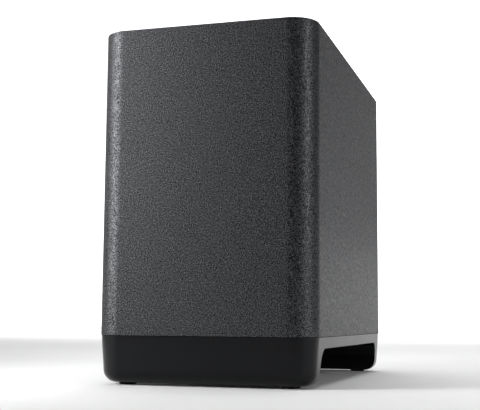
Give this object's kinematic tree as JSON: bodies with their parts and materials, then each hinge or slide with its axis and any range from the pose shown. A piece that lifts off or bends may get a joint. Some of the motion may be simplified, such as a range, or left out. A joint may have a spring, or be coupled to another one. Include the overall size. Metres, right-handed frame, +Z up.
{
  "type": "soundbar subwoofer",
  "caption": "Free-standing wireless bass speaker: tall textured box with rounded upright edges on a moulded base with a side-to-side tunnel, down-firing woofer, rear port and amplifier plate.",
  "frame": {"origin": "centre of the footprint, at the underside of the feet", "axes": "+Z up, -Y is the front, +Y the back with the port and the amplifier plate, +X the right side"},
  "size_m": [0.208, 0.38, 0.33],
  "materials": {
    "textured_film": "fine leather-like grain, satin",
    "fibreboard": "raw medium-density fibreboard",
    "wadding": "loose polyester wadding",
    "foam": "closed-cell foam",
    "base_moulding": "satin black moulding",
    "foot_rubber": "matt black rubber",
    "zinc_steel": "zinc plated",
    "black_screw": "black oxide",
    "basket_paint": "black powder coat",
    "surround_rubber": "smooth butyl rubber",
    "cone_paper": "coated long-fibre paper",
    "cap_paper": "sealed paper dome",
    "polyimide": "amber film former",
    "copper_wire": "enamelled copper wire",
    "spider_cloth": "phenolic-treated cotton",
    "plated_steel": "passivated mild steel",
    "ferrite": "sintered ferrite",
    "terminal_board": "phenolic board",
    "brass_tab": "tinned brass",
    "lead_insulation": "flexible insulation",
    "port_plastic": "satin black moulding",
    "plate_paint": "fine textured black paint",
    "enclosure_plastic": "flame-retardant moulding",
    "board_mask": "green solder mask",
    "board_brass": "turned brass",
    "bare_aluminium": "extruded, bare",
    "transformer_tape": "taped bobbin",
    "capacitor_sleeve": "shrink sleeve",
    "inductor_wire": "enamelled wire on a core",
    "connector_plastic": "natural nylon",
    "module_mask": "blue solder mask",
    "shield_steel": "tinned steel",
    "inlet_plastic": "satin black moulding",
    "pin_nickel": "nickel plated",
    "button_rubber": "matt rubber",
    "switch_plastic": "moulded body",
    "plunger_plastic": "moulded plunger",
    "led_lens": "clear epoxy",
    "clear_plastic": "clear moulding"
  },
  "bodies": {
    "cabinet": {"textured_skin": "textured_film", "cabinet_sleeve": "fibreboard", "top_board": "fibreboard", "bottom_board": "fibreboard", "inner_brace": "fibreboard", "damping_wadding": "wadding", "seam_gasket": "foam", "base_plinth": "base_moulding", "foot_front_left": "foot_rubber", "foot_front_right": "foot_rubber", "foot_rear_left": "foot_rubber", "foot_rear_right": "foot_rubber", "base_screws": "zinc_steel", "woofer_basket": "basket_paint", "woofer_gasket": "foam", "woofer_screws": "black_screw", "woofer_surround": "surround_rubber", "spider": "spider_cloth", "top_plate": "plated_steel", "magnet_ring": "ferrite", "t_yoke": "plated_steel", "terminal_strip": "terminal_board", "terminal_tabs": "brass_tab", "woofer_leads": "lead_insulation", "port_tube": "port_plastic", "port_flare": "port_plastic", "amp_plate": "plate_paint", "plate_screws": "black_screw", "amp_gasket": "foam", "amp_enclosure": "enclosure_plastic", "cable_grommet": "foot_rubber", "main_pcb": "board_mask", "pcb_standoffs": "board_brass", "pcb_screws": "zinc_steel", "heatsink": "bare_aluminium", "transformer": "transformer_tape", "filter_capacitors": "capacitor_sleeve", "output_inductors": "inductor_wire", "speaker_connector": "connector_plastic", "wireless_module": "module_mask", "shield_can": "shield_steel", "inlet_socket": "inlet_plastic", "inlet_pins": "pin_nickel", "button_switch": "switch_plastic", "status_led": "led_lens", "light_pipe": "clear_plastic"},
    "cone": {"woofer_cone": "cone_paper", "dust_cap": "cap_paper", "voice_coil_former": "polyimide", "voice_coil_winding": "copper_wire"},
    "button": {"sync_button": "button_rubber", "switch_plunger": "plunger_plastic"}
  },
  "joints": [
    {"name": "cone_travel", "type": "slide", "parent": "cabinet", "child": "cone", "axis": [0, 0, 1], "range_m": [-0.006, 0.006], "stiffness_N_per_m": 1500, "deforming": ["woofer_surround", "spider"]},
    {"name": "button_press", "type": "slide", "parent": "cabinet", "child": "button", "axis": [0, -1, 0], "range_m": [0, 0.0008], "stiffness_N_per_m": 1200, "springref_m": -0.0005}
  ]
}
